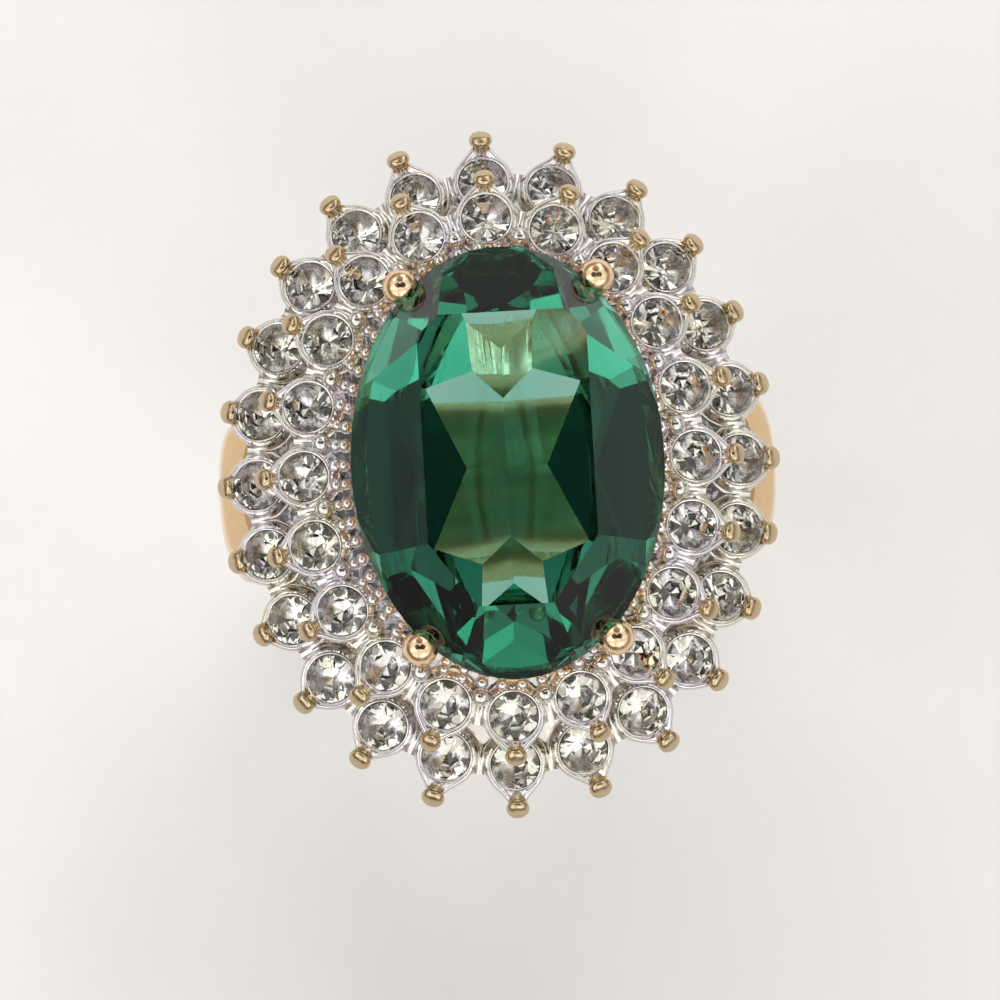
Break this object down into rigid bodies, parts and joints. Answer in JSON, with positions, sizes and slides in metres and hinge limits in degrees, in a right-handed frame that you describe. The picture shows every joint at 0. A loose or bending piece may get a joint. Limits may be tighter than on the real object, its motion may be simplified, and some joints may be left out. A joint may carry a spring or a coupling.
{
  "type": "cocktail ring",
  "caption": "Oval two-tier cluster cocktail ring: faceted green stone in four ball-ended claws, rings of round clear crystals, and a flared gold-plated shank.",
  "frame": {"origin": "middle of the finger hole, on its axis", "axes": "+Y along the finger axis and the long way of the head, +Z from the finger up through the head, +X across the finger"},
  "size_m": [0.0242, 0.0294, 0.0303],
  "materials": {
    "gold_plate": "polished gold plate on cast brass, slightly worn",
    "two_tone_plate": "bright rhodium plate with gold-plated tips and walls",
    "claw_gold": "polished rose-gold plate",
    "green_glass": "polished, faceted",
    "clear_crystal": "polished, faceted, foiled behind"
  },
  "bodies": {
    "root": {"shank": "gold_plate", "head_base": "gold_plate", "lower_tier": "two_tone_plate", "upper_tier": "two_tone_plate", "centre_basket": "claw_gold", "centre_stone": "green_glass", "outer_crystal_01": "clear_crystal", "outer_crystal_02": "clear_crystal", "outer_crystal_03": "clear_crystal", "outer_crystal_04": "clear_crystal", "outer_crystal_05": "clear_crystal", "outer_crystal_06": "clear_crystal", "outer_crystal_07": "clear_crystal", "outer_crystal_08": "clear_crystal", "outer_crystal_09": "clear_crystal", "outer_crystal_10": "clear_crystal", "outer_crystal_11": "clear_crystal", "outer_crystal_12": "clear_crystal", "outer_crystal_13": "clear_crystal", "outer_crystal_14": "clear_crystal", "outer_crystal_15": "clear_crystal", "outer_crystal_16": "clear_crystal", "outer_crystal_17": "clear_crystal", "outer_crystal_18": "clear_crystal", "outer_crystal_19": "clear_crystal", "outer_crystal_20": "clear_crystal", "outer_crystal_21": "clear_crystal", "outer_crystal_22": "clear_crystal", "outer_crystal_23": "clear_crystal", "outer_crystal_24": "clear_crystal", "inner_crystal_01": "clear_crystal", "inner_crystal_02": "clear_crystal", "inner_crystal_03": "clear_crystal", "inner_crystal_04": "clear_crystal", "inner_crystal_05": "clear_crystal", "inner_crystal_06": "clear_crystal", "inner_crystal_07": "clear_crystal", "inner_crystal_08": "clear_crystal", "inner_crystal_09": "clear_crystal", "inner_crystal_10": "clear_crystal", "inner_crystal_11": "clear_crystal", "inner_crystal_12": "clear_crystal", "inner_crystal_13": "clear_crystal", "inner_crystal_14": "clear_crystal", "inner_crystal_15": "clear_crystal", "inner_crystal_16": "clear_crystal", "inner_crystal_17": "clear_crystal", "inner_crystal_18": "clear_crystal", "inner_crystal_19": "clear_crystal", "inner_crystal_20": "clear_crystal"}
  },
  "joints": []
}
